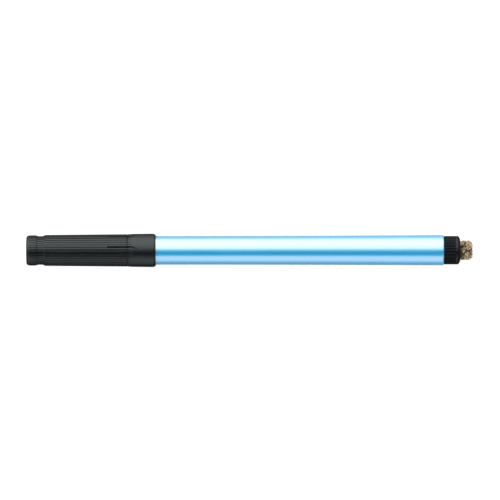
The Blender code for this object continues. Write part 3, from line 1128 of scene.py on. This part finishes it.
    def clip_cutter(self, slot: float, nose_slot: float, floor: float) -> Object:
        """Build a block with the outline of the clip's tongue, which flares a little at its nose.

        Args:
            slot: How much wider than the tongue it is on each side.
            nose_slot: The same at the nose.
            floor: Height of its underside over the axis.

        Returns:
            The block, which reaches out of the cap.
        """
        tip = self.clip_tip + (self.tip_gap if slot > 0.0 else 0.0)
        corner = tip - self.clip_tip_round
        widths = [(place, share * slot) for place, share in self.slot_shares] + [(1.0, nose_slot)]
        side: list[Point] = [(self.clip_root, self.clip_half_width + slot)]
        for i in range(self.nose_steps + 1):
            share = i / self.nose_steps
            along = self.nose_start + (corner - self.nose_start) * share
            side.append((along, self.clip_half_width + self.nose_flare * share**2 + between(widths, share)))
        inner = side[-1][1] - self.clip_tip_round
        for angle in quarter_turn(self.clip_tip_steps)[1:]:
            along = corner + self.clip_tip_round * math.sin(angle)
            side.append((along, inner + self.clip_tip_round * math.cos(angle)))
        outline = side + [(along, -across) for along, across in reversed(side)]
        middle = 0.5 * (self.clip_root + tip)
        rings: list[list[Vector]] = []
        for height in (floor, self.cut_top):
            level = self.axis.height + height * MM
            block_ring = [(self.axis.start + along * MM, across * MM, level) for along, across in outline]
            rings.append([Vector(spot) for spot in block_ring])
        ends = [[self.axis.at(middle, height)] for height in (floor, self.cut_top)]
        mesh = skin("clip_cutter", [ends[0], *rings, ends[1]], closed=False)
        return new_piece("clip_cutter", mesh, None)

    def dress(self) -> list[Object]:
        """Build the cap's pieces and set the shell on the cap's body.

        Returns:
            The pieces.
        """
        shell = self.build_shell()
        tongue = new_piece("clip_tongue", shell.data.copy(), None)
        cut(shell, self.clip_cutter(self.slot_width, self.nose_slot_width, self.cut_floor), Keep.OUTSIDE)
        cut(tongue, self.clip_cutter(0.0, 0.0, self.clip_underside), Keep.INSIDE)
        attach(shell, Body.CAP.value)
        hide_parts("cap_shell")
        self.axis.at(self.clip_root, self.clip_underside, 0.0)
        self.axis.at(self.bend_end, self.clip_underside, 0.0)
        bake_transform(tongue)
        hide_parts("cap_clip")
        seal = dress_node("cap_inner_seal", NATURAL_POLYETHYLENE.material())
        return [shell, tongue, seal]


@dataclass
class Barrel:
    """Light blue pearl tube, a little wider at the rear, with a socket at each end."""

    axis: PenAxis
    start: float = 35.45
    cap_mouth: float = 41.2
    end: float = 132.8
    front_radius: float = 4.565
    front_chamfer: float = 0.25
    rear_radius: float = 4.83
    rear_round_length: float = 0.8
    rear_round_drop: float = 0.25
    rear_round_steps: int = 6
    bore_radius: float = 3.7
    section_seat: float = 45.0
    section_radius: float = 3.8
    plug_seat: float = 126.0
    plug_radius: float = 4.08
    edge_round: float = 0.06
    corner_steps: int = 5
    stations: int = 24
    steps: int = 160

    def radius(self, along: float) -> float:
        """Find the outer radius, which swells slowly from the cap's mouth and is rounded over at the rear.

        Args:
            along: The place along the pen.

        Returns:
            The radius there.
        """
        share = max(0.0, (along - self.cap_mouth) / (self.end - self.cap_mouth))
        past = max(0.0, along - (self.end - self.rear_round_length)) / self.rear_round_length
        rounding = self.rear_round_drop * (1.0 - math.sqrt(max(0.0, 1.0 - past**2)))
        return self.front_radius + (self.rear_radius - self.front_radius) * share**2 - rounding

    def build_tube(self) -> Object:
        """Build the tube.

        Returns:
            The tube.
        """
        round_start = self.end - self.rear_round_length
        length = round_start - self.cap_mouth
        places = [self.cap_mouth + length * i / self.stations for i in range(self.stations + 1)]
        for angle in quarter_turn(self.rear_round_steps)[1:]:
            places.append(round_start + self.rear_round_length * math.sin(angle))
        front: list[Corner] = [
            (self.start, self.front_radius - self.front_chamfer, 0.08),
            (self.start + self.front_chamfer, self.front_radius, 0.1),
        ]
        outside: list[Corner] = [(along, self.radius(along), 0.0) for along in places]
        inside: list[Corner] = [
            (self.end, self.plug_radius, self.edge_round),
            (self.plug_seat, self.plug_radius, self.edge_round),
            (self.plug_seat, self.bore_radius, self.edge_round),
            (self.section_seat, self.bore_radius, self.edge_round),
            (self.section_seat, self.section_radius, self.edge_round),
            (self.start, self.section_radius, self.edge_round),
        ]
        outline = rounded(front + outside + inside, closed=True, steps=self.corner_steps)
        mesh = self.axis.turned("barrel_skin", outline, self.steps, closed=True)
        return new_piece("barrel_pearl_tube", mesh, PEARL_POLYPROPYLENE.material())

    def dress(self) -> list[Object]:
        """Build the barrel's pieces and set them on the pen.

        Returns:
            The pieces.
        """
        tube = self.build_tube()
        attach(tube, Body.PEN.value)
        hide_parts("barrel_tube")
        return [tube]


@dataclass
class WritingEnd:
    """Front section with its nib, and the ink reservoir behind it in its film."""

    axis: PenAxis
    steps: int = 96

    # Corners of the nozzle: spigot in the barrel, seat of the cap, grip, land of the seal, tip, and bore
    nozzle: tuple[Corner, ...] = (
        (44.4, 3.3, 0.1),
        (44.0, 3.7, 0.1),
        (35.4, 3.7, 0.05),
        (35.4, 4.27, 0.08),
        (33.0, 4.27, 0.25),
        (32.2, 3.95, 0.3),
        (22.8, 3.6, 0.4),
        (22.0, 2.93, 0.4),
        (18.0, 2.93, 0.25),
        (17.6, 2.6, 0.25),
        (12.6, 1.3, 0.2),
        (12.6, 0.9, 0.05),
        (25.0, 0.9, 0.1),
        (25.9, 1.8, 0.1),
        (44.4, 1.8, 0.1),
    )

    def build_section(self) -> Object:
        """Build the nozzle that holds the nib, guides the cap and plugs into the barrel.

        Returns:
            The nozzle.
        """
        outline = rounded(self.nozzle, closed=True)
        mesh = self.axis.turned("front_section_skin", outline, self.steps, closed=True)
        return new_piece("front_section_nozzle", mesh, BLACK_POLYPROPYLENE.material())

    def dress(self) -> list[Object]:
        """Build the writing end's pieces and set the nozzle on the pen.

        Returns:
            The pieces.
        """
        section = self.build_section()
        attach(section, Body.PEN.value)
        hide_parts("front_section")
        nib = dress_node("nib", INKED_NIB.material())
        core = dress_node("reservoir_core", INKED_BUNDLE.material())
        wrap = dress_node("reservoir_wrap", CLEAR_POLYESTER_FILM.material())
        return [section, nib, core, wrap]


@dataclass
class Tail:
    """Ribbed end plug and the fibre eraser in its socket."""

    axis: PenAxis
    ribs: RibTree
    curls: CurlTree

    # Plug: spigot in the barrel, ribbed head, shoulder, end face, and the socket over a web with a vent
    spigot_start: float = 126.2
    spigot_lead: float = 0.4
    spigot_radius: float = 3.98
    spigot_bore: float = 3.1
    ribbing: Ribbing = Ribbing(28, 12, groove_share=0.6, floor_share=0.2, crown_share=0.0)
    groove_depth: float = 0.2
    head_start: float = 132.85
    head_radius: float = 4.515
    head_chamfer: float = 0.1
    head_places: Pair = (134.2, 135.5)
    ribs_end: float = 136.4
    rib_fade: float = 0.4
    shoulder: float = 137.4
    shoulder_end: float = 137.8
    shoulder_radius: float = 4.0
    face: float = 138.0
    face_radius: float = 3.45
    socket_radius: float = 3.17
    web_start: float = 129.9
    web_end: float = 131.0
    vent_radius: float = 1.0

    # Eraser: corners of its core, and the fibres that cover it outside the socket
    core: tuple[Corner, ...] = (
        (131.1, 0.0, 0.0),
        (131.1, 3.05, 0.2),
        (138.0, 3.05, 0.2),
        (138.3, 2.4, 0.3),
        (140.6, 2.45, 0.5),
        (141.2, 2.15, 0.4),
        (141.25, 0.0, 0.0),
    )
    core_corner_steps: int = 6
    core_steps: int = 64
    fibres_start: float = 138.3
    fibres_per_mm2: float = 3.8
    curl_radius: float = 0.38
    curl_rise: float = 0.45
    fibre_radius: float = 0.12
    crimp: float = 0.8
    crimp_size: float = 0.7
    seed: int = 7

    def groove(self, along: float) -> float:
        """Depth of the grooves between the ribs at a place along the plug."""
        table = [
            (self.head_start, 0.0),
            (self.head_start + 2.0 * self.head_chamfer, self.groove_depth),
            (self.ribs_end, self.groove_depth),
            (self.ribs_end + self.rib_fade, 0.0),
        ]
        return between(table, along)

    def build_plug(self) -> Object:
        """Build the plug: a ribbed head, a spigot in the barrel and a socket for the eraser.

        Returns:
            The plug.
        """
        head_places = (
            self.head_start + 2.0 * self.head_chamfer,
            *self.head_places,
            self.ribs_end,
            self.ribs_end + 0.5 * self.rib_fade,
            self.ribs_end + self.rib_fade,
        )
        corners: list[Corner] = [
            (self.spigot_start, self.spigot_radius - self.spigot_lead, 0.05),
            (self.spigot_start + self.spigot_lead, self.spigot_radius, 0.1),
            (self.head_start, self.spigot_radius, 0.03),
            (self.head_start, self.head_radius - self.head_chamfer, 0.05),
            (self.head_start + self.head_chamfer, self.head_radius, 0.05),
            *((along, self.head_radius, 0.0) for along in head_places),
            (self.shoulder, self.head_radius, 0.15),
            (self.shoulder_end, self.shoulder_radius, 0.2),
            (self.face, self.face_radius, 0.12),
            (self.face, self.socket_radius, 0.08),
            (self.web_end, self.socket_radius, 0.1),
            (self.web_end, self.vent_radius, 0.1),
            (self.web_start, self.vent_radius, 0.1),
            (self.web_start, self.spigot_bore, 0.1),
            (self.spigot_start, self.spigot_bore, 0.05),
        ]
        outline = rounded(corners, closed=True)
        depths = [self.groove(along) if radius > self.face_radius else 0.0 for along, radius in outline]
        plug = self.ribs.build(
            "end_plug_ribbed", self.axis, outline, True, depths, self.ribbing, DULL_POLYPROPYLENE
        )
        self.polish_collar(plug)
        return plug

    def polish_collar(self, plug: Object) -> None:
        """Give the smooth collar behind the ribs the polish that the ribs lack.

        Args:
            plug: The ribbed plug.
        """
        plug.data.materials.append(SATIN_POLYPROPYLENE.material())
        collar_start = self.axis.at(self.ribs_end + 0.5 * self.rib_fade).x
        for face in plug.data.polygons:
            if face.center.x > collar_start:
                face.material_index = 1

    def build_eraser(self) -> Object:
        """Build the eraser: a core in the socket, its open end covered with curled fibres.

        Returns:
            The eraser.
        """
        outline = rounded(self.core, closed=False, steps=self.core_corner_steps)
        mesh = self.axis.turned("eraser_core_skin", outline, self.core_steps, closed=False)
        eraser = new_piece("eraser_fibre_plug", mesh, None)
        self.curls.run(
            eraser,
            {
                "Socket mouth": self.axis.at(self.fibres_start).x,
                "Fibres per area": self.fibres_per_mm2 / MM**2,
                "Curl radius": self.curl_radius * MM,
                "Curl rise": self.curl_rise * MM,
                "Fibre radius": self.fibre_radius * MM,
                "Crimp": self.crimp * MM,
                "Crimp scale": 1.0 / (self.crimp_size * MM),
                "Seed": self.seed,
                "Material": ERASER_FIBRE.material(),
            },
        )
        return eraser

    def dress(self) -> list[Object]:
        """Build the tail's pieces and set them on the pen.

        Returns:
            The pieces.
        """
        plug = self.build_plug()
        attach(plug, Body.PEN.value)
        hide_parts("end_plug")
        eraser = self.build_eraser()
        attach(eraser, Body.PEN.value)
        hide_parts("eraser_pad")
        return [plug, eraser]


# Studio


@dataclass
class Studio:
    """Light table under soft light that comes from above and behind, and the camera of the photograph."""

    axis: PenAxis

    # Camera; its distance and the width that it sees are in metres
    elevation: float = 55.0
    distance: float = 3.0
    far_limit: float = 50.0
    view_width: float = 0.15905
    sensor: float = 36.0
    pen_middle: float = 71.18
    raise_mm: float = 0.1
    roll: float = -0.035

    # Floor in metres, and the light, which dims as a ray's way turns to the right
    floor_size: float = 6.0
    light_peak: float = 2.2
    right_start: float = 0.2
    right_end: float = 0.7
    right_share: float = 0.4
    fill: float = 1.5
    fill_share: float = 0.55

    # Angle up from the line of sight, over the top to the back, and the light's share of its peak there
    light_band: tuple[Point, ...] = (
        (-180.0, 0.02),
        (-153.0, 0.015),
        (-129.0, 0.03),
        (-113.0, 0.1),
        (-98.0, 0.27),
        (-83.0, 0.43),
        (-55.0, 0.43),
        (-50.0, 0.33),
        (-42.0, 0.15),
        (-36.0, 0.05),
        (-30.0, 0.005),
        (-17.0, 0.005),
        (-10.0, 0.045),
        (-5.0, 0.1),
        (1.0, 0.22),
        (8.0, 0.45),
        (15.0, 0.65),
        (30.0, 0.88),
        (46.0, 0.98),
        (63.0, 1.0),
        (83.0, 0.95),
        (91.0, 0.76),
        (101.0, 0.54),
        (112.0, 0.34),
        (126.0, 0.17),
        (147.0, 0.07),
        (180.0, 0.02),
    )

    def sight(self) -> tuple[Vector, Vector]:
        """Find how the camera sees the pen.

        Returns:
            The way from the pen to the camera, and the way that is up in its picture.
        """
        angle = math.radians(self.elevation)
        back = Vector((0.0, -math.cos(angle), math.sin(angle)))
        up = Vector((0.0, math.sin(angle), math.cos(angle)))
        return back, up

    def build_light(self) -> None:
        """Build the light: a band of brightness that gloss mirrors, and an even fill for dull surfaces.

        The band is dimmer on the right. The camera sees plain white instead.
        """
        world = bpy.data.worlds.new("studio_light")
        world.use_nodes = True
        world.node_tree.nodes.clear()
        add = partial(add_node, world.node_tree)
        way = add("ShaderNodeTexCoord").outputs["Generated"]
        towards, rise = (
            add("ShaderNodeVectorMath", {0: way, 1: line}, operation="DOT_PRODUCT").outputs["Value"]
            for line in self.sight()
        )
        angle = add("ShaderNodeMath", {0: rise, 1: towards}, operation="ARCTAN2")
        share = add("ShaderNodeMapRange", {"Value": angle, "From Min": -math.pi, "From Max": math.pi})
        band = add("ShaderNodeValToRGB", {"Fac": share})
        places = [(degrees + 180.0) / 360.0 for degrees, _ in self.light_band]
        set_stops(band, places, [(value, value, value, 1.0) for _, value in self.light_band])
        strength = add(
            "ShaderNodeMapRange",
            {
                "Value": add("ShaderNodeSeparateXYZ", {0: way}).outputs["X"],
                "From Min": self.right_start,
                "From Max": self.right_end,
                "To Min": self.light_peak,
                "To Max": self.light_peak * self.right_share,
            },
        )
        soft = add("ShaderNodeBackground", {"Color": band, "Strength": strength})
        even = add("ShaderNodeBackground", {"Color": WHITE, "Strength": self.fill})
        white = add("ShaderNodeBackground", {"Color": WHITE, "Strength": 1.0})
        path = add("ShaderNodeLightPath").outputs
        dull = add("ShaderNodeMath", {0: path["Is Diffuse Ray"], 1: self.fill_share}, operation="MULTIPLY")
        lit = add("ShaderNodeMixShader", {0: dull, 1: soft, 2: even})
        seen = add("ShaderNodeMixShader", {0: path["Is Camera Ray"], 1: lit, 2: white})
        add("ShaderNodeOutputWorld", {"Surface": seen})
        bpy.context.scene.world = world

    def build_floor(self) -> None:
        """Build the floor, a light table that glows white. It is left out of reflections."""
        half = 0.5 * self.floor_size
        mesh = bpy.data.meshes.new("floor")
        corners = [(-half, -half, 0.0), (half, -half, 0.0), (half, half, 0.0), (-half, half, 0.0)]
        mesh.from_pydata(corners, [], [(0, 1, 2, 3)])
        floor = new_piece("floor", mesh, LIGHT_TABLE.material())
        floor.visible_glossy = False

    def build_camera(self) -> None:
        """Build the camera: a long lens square to the pen, above its front."""
        data = bpy.data.cameras.new("camera")
        data.sensor_width = self.sensor
        data.lens = self.sensor * self.distance / self.view_width
        data.clip_end = self.far_limit
        camera = bpy.data.objects.new("camera", data)
        back, up = self.sight()
        camera.location = self.axis.at(self.pen_middle) + back * self.distance + up * self.raise_mm * MM
        level = (-back).to_track_quat("-Z", "Y")
        camera.rotation_euler = (level @ Quaternion((0.0, 0.0, 1.0), math.radians(self.roll))).to_euler()
        bpy.context.scene.collection.objects.link(camera)
        bpy.context.scene.camera = camera

    def set_up(self) -> None:
        """Build the light, the floor and the camera, and show colours as they are."""
        self.build_light()
        self.build_floor()
        self.build_camera()
        bpy.context.scene.view_settings.view_transform = "Standard"


def main() -> None:
    """Build every sub-assembly in order, then the studio, and report each piece."""
    logging.basicConfig(level=logging.INFO, format="%(message)s")
    axis = PenAxis.from_frame()
    ribs = RibTree()
    for assembly in (Cap(axis, ribs), Barrel(axis), WritingEnd(axis), Tail(axis, ribs, CurlTree())):
        for piece in assembly.dress():
            LOG.info("%s: %s, %d faces", type(assembly).__name__, piece.name, len(piece.data.polygons))
    Studio(axis).set_up()


if __name__ == "__main__":
    main()
